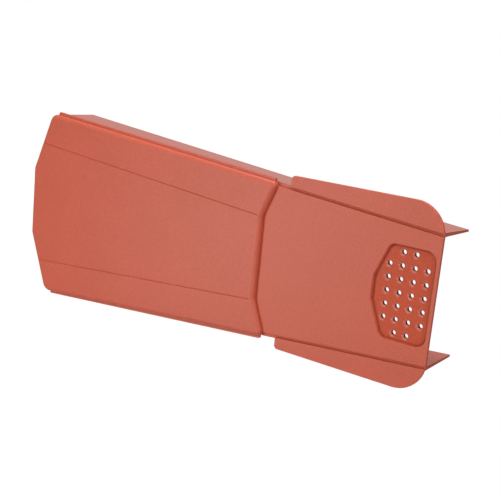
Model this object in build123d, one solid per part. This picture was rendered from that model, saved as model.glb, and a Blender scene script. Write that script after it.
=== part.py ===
from build123d import *
import math
import os

os.makedirs("parts", exist_ok=True)

# Lengths run along the unit from its cover end, depths run back from the cover face,
# heights run up and down from the middle line. All sizes are in mm.

# The tapered channel
unit_length = 416.4
cover_half_height = 86.0
taper_angle = 4.95
wall = 2.2

# The raised cover and the two fine lines in its face
end_flat_half = 31.0
end_slant_angle = 22.0
end_corner_radius = 9.0
bend_radius = 4.0
cover_edge_radius = 3.6
inside_radius = 1.0
edge_break = 0.4
line_half_height = 56.8
line_width = 0.9
line_depth = 0.5
line_gap = 3.7

# The step down to the lap
step_length = 265.7
step_flat_half = 33.8
step_corner_radius = 4.0
lap_drop = 4.4

# The legs, each with its lean towards the middle at the cover end, the step and the lap end
leg_start = 27.4
leg_depth = 46.0
leg_root = 2.9
leg_edge = 1.6
leg_lean_cover = 0.1
leg_lean_step = 2.6
leg_lean_lap = 1.6

# The lip along each side of the cover
lip_overrun = 7.2
lip_reach = 2.3
lip_setback = 4.0
lip_thickness = 2.4
lip_corner_radius = 0.8

# The wings beside the lap and the score over each leg
wing_half_height = 69.2
wing_gap = 21.7
wing_start_radius = 3.0
wing_end_radius = 24.0
score_width = 2.0
score_depth = 1.6

# The nailing recess
recess_length = 47.3
recess_margin = 2.9
recess_flat_half = 9.0
recess_half_height = 35.3
recess_corner_radius = 6.5
recess_end_radius = 8.3
recess_depth = 2.8
recess_draft = 15.0
recess_edge_radius = 0.8
nail_pad = 3.4
nail_pitch = 10.0
nail_columns = 4
nail_rows = 5
nail_margin = 9.6
nail_hole_diameter = 3.5
nail_sink_diameter = 6.6
nail_sink_depth = 0.7

# Levels and lines that follow from the sizes
taper = math.tan(math.radians(taper_angle))
slant = math.tan(math.radians(end_slant_angle))
lap_back = lap_drop + wall
score_floor = lap_drop + score_depth
recess_floor = lap_drop + recess_depth
pad_back = recess_floor + nail_pad
recess_end = unit_length - recess_margin
recess_start = recess_end - recess_length
wing_start = step_length + wing_gap
lip_end = step_length + lip_overrun
nail_middle = unit_length - nail_margin - nail_pitch * (nail_columns - 1) / 2
beyond = 20.0


def side_point(length, inset):
    """A point on the tapering side line, set in from the outside of the leg."""
    return (length, cover_half_height - taper * length - inset)


def slant_end(length, flat_half, inset):
    """Where a slanting end edge that leaves the flat at a length meets the side line."""
    reach = side_point(length, inset)[1] - flat_half
    return side_point(length + slant * reach / (1 + slant * taper), inset)


def both_sides(upper):
    """An outline from its upper half, listed from the lap end towards the cover end."""
    lower = [(x, -z) for x, z in reversed(upper)]
    return make_face(Polyline(*upper, *lower, close=True))


def rounded(outline, point, radius):
    """The outline with the corner at a point, and its mirror image, rounded."""
    corners = []
    for corner in outline.vertices():
        if abs(corner.X - point[0]) < 0.01 and abs(abs(corner.Y) - point[1]) < 0.01:
            corners.append(corner)
    return fillet(corners, radius)


def slab(outline, front, back):
    """An outline given a thickness between two depths."""
    return extrude(Plane.XZ.offset(-front) * outline, amount=front - back)


def side_strip(start, end, inner_inset, outer_inset):
    """The outline of a strip that follows the upper side line."""
    corners = [
        side_point(start, inner_inset),
        side_point(end, inner_inset),
        side_point(end, outer_inset),
        side_point(start, outer_inset),
    ]
    return make_face(Polyline(*corners, close=True))


def mirrored(shape):
    """An upper shape together with its lower twin."""
    return shape + mirror(shape, about=Plane.XY)


# Cover: one closed edge with a soft round, its end and its step cut to the same slant
end_corner = slant_end(0, end_flat_half, 0)
step_corner = slant_end(step_length, step_flat_half, 0)
cover_outline = both_sides([(step_length, step_flat_half), step_corner, end_corner, (0, end_flat_half)])
cover_outline = rounded(cover_outline, (step_length, step_flat_half), bend_radius)
cover_outline = rounded(cover_outline, (0, end_flat_half), bend_radius)
cover_outline = rounded(cover_outline, end_corner, end_corner_radius)
cover_outline = rounded(cover_outline, step_corner, step_corner_radius)
cover = slab(cover_outline, 0, lap_back)
cover = fillet(cover.faces().sort_by(Axis.Y)[0].edges(), cover_edge_radius)

# Hollow behind the cover face: side walls as thick as the leg roots, the step one wall thick
riser_length = step_length - wall
riser_corner = slant_end(riser_length, step_flat_half, leg_root)
hollow_outline = both_sides(
    [(riser_length, step_flat_half), riser_corner, side_point(-beyond, leg_root)]
)
hollow = slab(hollow_outline, wall, lap_back + beyond)
cover -= fillet(hollow.faces().sort_by(Axis.Y)[0].edges(), inside_radius)
open_end = Pos(leg_start - beyond, 0) * Rectangle(2 * beyond, 4 * cover_half_height)
cover -= slab(open_end, wall, lap_back + beyond)

# Fine lines in the cover face, from the end edge to just short of the step
line_tool_section = Polyline(
    (-line_width / 2, 0),
    (-line_width / 2, line_width),
    (line_width / 2, line_width),
    (line_width / 2, 0),
    (0, -line_depth),
    close=True,
)
line_start = -beyond
line_plane = Plane(
    origin=(line_start, 0, line_half_height - taper * line_start),
    x_dir=(taper, 0, 1),
    z_dir=(1, 0, -taper),
)
line_run = (step_length - line_gap - line_start) * math.hypot(1, taper)
cover -= mirrored(extrude(line_plane * make_face(line_tool_section), amount=line_run))

# Lap plate and wings in one level sheet
riser_side = slant_end(riser_length, step_flat_half, 0)
lap_outline = both_sides(
    [side_point(unit_length, 0), riser_side, (riser_length, step_flat_half)]
)
wing_outline = both_sides([(unit_length, wing_half_height), (wing_start, wing_half_height)])
wing_outline = rounded(wing_outline, (wing_start, wing_half_height), wing_start_radius)
wing_outline = rounded(wing_outline, (unit_length, wing_half_height), wing_end_radius)
lap = slab(lap_outline + wing_outline, lap_drop, lap_back)

# Score over each leg, which opens to a ledge where there is no wing outside it
score = side_strip(riser_length, unit_length + beyond, leg_root, leg_root - score_width)
ledge = side_strip(riser_length, wing_start, leg_root, -beyond)
lap -= mirrored(slab(score, lap_drop - wall, score_floor))
lap -= mirrored(slab(ledge, lap_drop - wall, score_floor))
lap = fillet(lap.edges().filter_by_position(Axis.Y, lap_drop, lap_drop), edge_break)

# Legs: ruled plates that thin towards the back edge and lean in by a different amount along them
leg_sections = []
for length, lean in (
    (leg_start, leg_lean_cover),
    (step_length, leg_lean_step),
    (unit_length, leg_lean_lap),
):
    root_outer = side_point(length, 0)[1]
    root_inner = side_point(length, leg_root)[1]
    edge_outer = side_point(length, lean)[1]
    edge_inner = edge_outer - leg_edge
    section = Polyline(
        (length, lap_back, root_outer),
        (length, leg_depth, edge_outer),
        (length, leg_depth, edge_inner),
        (length, lap_back, root_inner),
        close=True,
    )
    leg_sections.append(make_face(section))
legs = mirrored(loft(leg_sections, ruled=True))

# Lip along each side of the cover
lip_outline = side_strip(leg_start, lip_end, leg_root / 2, -lip_reach)
lip_tips = [side_point(leg_start, -lip_reach), side_point(lip_end, -lip_reach)]
for tip in lip_tips:
    lip_outline = rounded(lip_outline, tip, lip_corner_radius)
lips = mirrored(slab(lip_outline, lip_setback, lip_setback + lip_thickness))

# Nailing recess: a drafted pocket in the lap with a drafted pad behind it
recess_slant_end = recess_start + slant * (recess_half_height - recess_flat_half)
recess_outline = both_sides(
    [
        (recess_end, recess_half_height),
        (recess_slant_end, recess_half_height),
        (recess_start, recess_flat_half),
    ]
)
recess_outline = rounded(recess_outline, (recess_start, recess_flat_half), bend_radius)
recess_outline = rounded(recess_outline, (recess_slant_end, recess_half_height), recess_corner_radius)
recess_outline = rounded(recess_outline, (recess_end, recess_half_height), recess_end_radius)
pad_front = lap_drop + wall / 2
pad = extrude(
    Plane.XZ.offset(-pad_front) * offset(recess_outline, wall), amount=pad_front - pad_back, taper=recess_draft
)
pocket = extrude(
    Plane.XZ.offset(-lap_drop) * recess_outline, amount=-recess_depth, taper=recess_draft
)

unit = cover + lap + legs + lips + pad - pocket

# Soft edge round the mouth of the recess, and a fillet where each leg meets the back of the lap
mouth = unit.edges().filter_by_position(Axis.Y, lap_drop, lap_drop)
mouth = mouth.filter_by_position(Axis.X, recess_start, recess_end)
mouth = mouth.filter_by_position(Axis.Z, -recess_half_height, recess_half_height)
unit = fillet(mouth, recess_edge_radius)
roots = []
for edge in unit.edges().filter_by_position(Axis.X, riser_corner[0], unit_length):
    middle = edge.center()
    off_line = abs(middle.Z) - side_point(middle.X, leg_root)[1]
    if abs(middle.Y - lap_back) < 0.01 and abs(off_line) < 0.01:
        roots.append(edge)
unit = fillet(roots, inside_radius)

# Countersunk nail holes on a square grid: full rows, and a short row above and below them
nail_cutters = []
row_reach = (nail_rows + 1) / 2
for row in range(nail_rows + 2):
    height = (row - row_reach) * nail_pitch
    for column in range(nail_columns):
        middle_column = 0 < column < nail_columns - 1
        if abs(row - row_reach) == row_reach and not middle_column:
            continue
        length = nail_middle + (column - (nail_columns - 1) / 2) * nail_pitch
        hole = Pos(length, height) * Circle(nail_hole_diameter / 2)
        sink = Cone(nail_sink_diameter / 2, nail_hole_diameter / 2, nail_sink_depth)
        sink_place = Pos(length, recess_floor + nail_sink_depth / 2, height) * Rot(X=-90)
        nail_cutters.append(slab(hole, recess_floor - wall, pad_back + wall))
        nail_cutters.append(sink_place * sink)
unit -= nail_cutters

# Origin in the middle of the nail pattern, where the pad's back bears on the roof timber
unit = Pos(-nail_middle, -pad_back, 0) * unit
unit.label = "verge_unit"
export_step(unit, "parts/verge_unit.step")
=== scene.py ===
import math

import bpy
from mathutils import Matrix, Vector


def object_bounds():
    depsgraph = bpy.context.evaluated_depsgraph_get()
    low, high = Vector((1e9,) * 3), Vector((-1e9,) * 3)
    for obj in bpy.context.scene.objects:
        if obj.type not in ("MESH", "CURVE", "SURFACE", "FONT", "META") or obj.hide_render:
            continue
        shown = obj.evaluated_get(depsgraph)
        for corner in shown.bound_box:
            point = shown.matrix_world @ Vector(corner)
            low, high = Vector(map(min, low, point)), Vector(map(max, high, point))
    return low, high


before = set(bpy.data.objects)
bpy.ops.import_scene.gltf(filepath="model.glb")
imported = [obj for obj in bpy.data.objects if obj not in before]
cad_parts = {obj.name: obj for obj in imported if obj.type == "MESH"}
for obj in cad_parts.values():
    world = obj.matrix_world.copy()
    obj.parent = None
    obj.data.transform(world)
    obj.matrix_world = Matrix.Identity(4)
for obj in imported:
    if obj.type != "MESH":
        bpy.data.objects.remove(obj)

cad_low, cad_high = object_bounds()
scene = bpy.context.scene

# Depths, which grow from the cover face towards the back, in metres
lap_drop = 0.0044
lap_level = cad_low.y + lap_drop
below_scores = lap_level + 0.0018


def node(tree, kind, place, **values):
    """A shader node with its inputs set by name."""
    made = tree.nodes.new(kind)
    made.location = place
    for name, value in values.items():
        made.inputs[name.replace("_", " ")].default_value = value
    return made


def spread(tree, place, source, start, end, low=0.0, high=1.0):
    """A number that runs from low to high while its source runs from start to end."""
    made = node(tree, "ShaderNodeMapRange", place, From_Min=start, From_Max=end, To_Min=low, To_Max=high)
    tree.links.new(source, made.inputs["Value"])
    return made.outputs["Result"]


def product(tree, place, first, second):
    """Two numbers multiplied."""
    made = node(tree, "ShaderNodeMath", place)
    made.operation = "MULTIPLY"
    tree.links.new(first, made.inputs[0])
    tree.links.new(second, made.inputs[1])
    return made.outputs["Value"]


def blend(tree, place, share, fixed, varied):
    """A number that goes from a fixed one to a varied one as the share rises."""
    made = node(tree, "ShaderNodeMix", place)
    made.data_type = "FLOAT"
    made.inputs["A"].default_value = fixed
    tree.links.new(share, made.inputs["Factor"])
    tree.links.new(varied, made.inputs["B"])
    return made.outputs["Result"]


def noise(tree, place, point, scale, detail, roughness):
    """The strength of a noise texture at a point of the unit."""
    made = node(tree, "ShaderNodeTexNoise", place, Scale=scale, Detail=detail, Roughness=roughness)
    tree.links.new(point, made.inputs["Vector"])
    return made.outputs["Fac"]


# Terracotta plastic: spark-eroded satin on the outside, smooth in the recess and further back
def terracotta_plastic():
    material = bpy.data.materials.new("terracotta_plastic")
    material.use_nodes = True
    tree = material.node_tree
    link = tree.links.new
    shader = tree.nodes["Principled BSDF"]
    shader.inputs["IOR"].default_value = 1.5
    point = node(tree, "ShaderNodeTexCoord", (-1700, 0)).outputs["Object"]
    surface = node(tree, "ShaderNodeNewGeometry", (-1700, -500))
    normal = node(tree, "ShaderNodeSeparateXYZ", (-1500, -450))
    position = node(tree, "ShaderNodeSeparateXYZ", (-1500, -650))
    link(surface.outputs["Normal"], normal.inputs["Vector"])
    link(point, position.inputs["Vector"])
    depth = position.outputs["Y"]

    # How far a point is on the outside: it doesn't look back and lies no deeper than the scores
    facing = spread(tree, (-1300, -400), normal.outputs["Y"], 0.6, 0.3)
    ahead = spread(tree, (-1300, -650), depth, below_scores + 0.0004, below_scores)
    outer = product(tree, (-1100, -500), facing, ahead)

    # Grain and faint clouds in the colour
    grain = noise(tree, (-1150, 250), point, 1100.0, 2.0, 0.6)
    cloud = noise(tree, (-1150, 0), point, 22.0, 3.0, 0.5)
    tone = node(tree, "ShaderNodeValToRGB", (-900, 250))
    tone.color_ramp.elements[0].position = 0.36
    tone.color_ramp.elements[0].color = (0.455, 0.077, 0.038, 1)
    tone.color_ramp.elements[1].position = 0.64
    tone.color_ramp.elements[1].color = (0.565, 0.098, 0.050, 1)
    link(grain, tone.inputs["Fac"])
    drift = spread(tree, (-900, 0), cloud, 0.35, 0.65, 0.965, 1.0)

    # Painted shade: ambient occlusion lowers the sheen in creases behind the cover face and darkens the
    # colour there a little, in the recess and its holes much more, standing in for the shade that falls
    # in them
    shelter = node(tree, "ShaderNodeAmbientOcclusion", (-1150, 700), Distance=0.004)
    shelter.only_local = True
    open_air = spread(tree, (-900, 700), shelter.outputs["AO"], 0.40, 0.85, 0.2, 1.0)
    behind = spread(tree, (-900, 950), depth, lap_level - 0.0018, lap_level - 0.0008)
    painted_shade_behind = blend(tree, (-700, 850), behind, 1.0, open_air)
    # The specular level drops in the same creases: painted shade on the sheen
    painted_shade_on_sheen = spread(tree, (-500, 850), painted_shade_behind, 0.2, 1.0, 0.0, 0.5)
    link(painted_shade_on_sheen, shader.inputs["Specular IOR Level"])
    deep = spread(tree, (-900, 450), depth, below_scores, below_scores + 0.0008, 0.2, 1.0)
    painted_crease_shade = blend(tree, (-700, 550), deep, 1.0, painted_shade_behind)
    colour = node(tree, "ShaderNodeVectorMath", (-500, 250))
    colour.operation = "SCALE"
    link(tone.outputs["Color"], colour.inputs[0])
    # The base colour is multiplied by the painted crease shade
    link(product(tree, (-700, 300), drift, painted_crease_shade), colour.inputs["Scale"])
    link(colour.outputs["Vector"], shader.inputs["Base Color"])

    # Satin roughness and its fine pits
    satin = spread(tree, (-700, -50), grain, 0.3, 0.7, 0.43, 0.51)
    link(blend(tree, (-450, -50), outer, 0.10, satin), shader.inputs["Roughness"])
    pit = noise(tree, (-1150, -220), point, 1300.0, 2.0, 0.6)
    bump = node(tree, "ShaderNodeBump", (-450, -350), Distance=0.00015)
    link(spread(tree, (-700, -350), outer, 0.0, 1.0, 0.05, 0.55), bump.inputs["Strength"])
    link(pit, bump.inputs["Height"])
    link(bump.outputs["Normal"], shader.inputs["Normal"])
    return material


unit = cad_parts["verge_unit"]
unit.data.materials.clear()
unit.data.materials.append(terracotta_plastic())


# Plain pale floor, which the camera sees as even white
def white_ground():
    material = bpy.data.materials.new("white_ground")
    material.use_nodes = True
    tree = material.node_tree
    tree.nodes.clear()
    out = node(tree, "ShaderNodeOutputMaterial", (400, 0))
    mix = node(tree, "ShaderNodeMixShader", (200, 0))
    path = node(tree, "ShaderNodeLightPath", (-200, 300))
    plain = node(tree, "ShaderNodeBsdfDiffuse", (-50, 0), Color=(0.6, 0.6, 0.6, 1))
    white = node(tree, "ShaderNodeEmission", (-50, -150), Color=(1, 1, 1, 1), Strength=1.0)
    tree.links.new(path.outputs["Is Camera Ray"], mix.inputs["Fac"])
    tree.links.new(plain.outputs["BSDF"], mix.inputs[1])
    tree.links.new(white.outputs["Emission"], mix.inputs[2])
    tree.links.new(mix.outputs["Shader"], out.inputs["Surface"])
    return material


floor_mesh = bpy.data.meshes.new("floor")
reach = 2.0
floor_level = cad_low.z - 1.1
floor_mesh.from_pydata(
    [(-reach, -reach, 0), (reach, -reach, 0), (reach, reach, 0), (-reach, reach, 0)], [], [(0, 1, 2, 3)]
)
floor = bpy.data.objects.new("floor", floor_mesh)
floor.location = (0, 0, floor_level)
floor_mesh.materials.append(white_ground())
scene.collection.objects.link(floor)


def glow(tree, place, view, centre, start, end, low, high):
    """The brightness of the surroundings, which rises towards the centre of a bright part."""
    towards = node(tree, "ShaderNodeVectorMath", place)
    towards.operation = "DOT_PRODUCT"
    towards.inputs[1].default_value = centre
    tree.links.new(view, towards.inputs[0])
    return spread(tree, (place[0] + 200, place[1]), towards.outputs["Value"], start, end, low, high)


# White surroundings for the camera; as light they are a dim dome with a white sheet behind the unit
def studio_world():
    world = bpy.data.worlds.new("studio")
    world.use_nodes = True
    tree = world.node_tree
    tree.nodes.clear()
    out = node(tree, "ShaderNodeOutputWorld", (500, 0))
    mix = node(tree, "ShaderNodeMixShader", (300, 0))
    path = node(tree, "ShaderNodeLightPath", (0, 300))
    view = node(tree, "ShaderNodeTexCoord", (-900, 0)).outputs["Generated"]
    dome = glow(tree, (-700, 200), view, (0.0, -0.6, 0.8), 0.1, 0.6, 0.05, 0.25)
    sheet = glow(tree, (-700, 0), view, (-0.64, 0.77, 0.0), 0.2, 0.8, 0.0, 0.42)
    brighter = node(tree, "ShaderNodeMath", (-250, 0))
    brighter.operation = "MAXIMUM"
    fill = node(tree, "ShaderNodeBackground", (0, 0), Color=(1, 1, 1, 1))
    white = node(tree, "ShaderNodeBackground", (0, -150), Color=(1, 1, 1, 1), Strength=1.0)
    tree.links.new(dome, brighter.inputs[0])
    tree.links.new(sheet, brighter.inputs[1])
    tree.links.new(brighter.outputs["Value"], fill.inputs["Strength"])
    tree.links.new(path.outputs["Is Camera Ray"], mix.inputs["Fac"])
    tree.links.new(fill.outputs["Background"], mix.inputs[1])
    tree.links.new(white.outputs["Background"], mix.inputs[2])
    tree.links.new(mix.outputs["Shader"], out.inputs["Surface"])
    return world


scene.world = studio_world()


# Soft studio lamps
def soft_lamp(name, place, aim, width, height, power):
    data = bpy.data.lights.new(name, "AREA")
    data.shape = "RECTANGLE"
    data.size = width
    data.size_y = height
    data.energy = power
    lamp = bpy.data.objects.new(name, data)
    lamp.location = place
    lamp.rotation_euler = (Vector(aim) - Vector(place)).to_track_quat("-Z", "Y").to_euler()
    scene.collection.objects.link(lamp)
    return lamp


middle = (-0.19, 0.0, 0.0)
soft_lamp("front_lamp", (-0.62, -2.25, 0.72), middle, 2.6, 1.7, 25.0)
soft_lamp("low_lamp", (0.90, -2.05, -0.40), middle, 1.2, 0.9, 7.5)
soft_lamp("side_lamp", (1.65, -0.92, 1.08), middle, 1.1, 1.1, 19.0)
soft_lamp("back_lamp", (-0.18, 0.16, 1.45), (-0.18, 0.0, 0.0), 1.1, 0.7, 20.5)
soft_lamp("rear_lamp", (-0.90, 1.90, -0.50), middle, 1.5, 1.0, 20.0)
soft_lamp("haze_lamp", (-0.54, -0.66, -0.12), (-0.15, 0.0, 0.0), 0.22, 0.22, 1.45)

# Camera at the photograph's place and angle
camera_data = bpy.data.cameras.new("camera")
camera_data.sensor_fit = "HORIZONTAL"
camera_data.sensor_width = 36.0
camera_data.lens = 65.8756
camera_data.clip_start = 0.01
camera = bpy.data.objects.new("camera", camera_data)
camera.location = (0.27482, -0.58391, 0.16131)
camera.rotation_euler = [math.radians(a) for a in (77.44272, -5.54877, 36.68798)]
scene.collection.objects.link(camera)
scene.camera = camera

scene.view_settings.view_transform = "Standard"
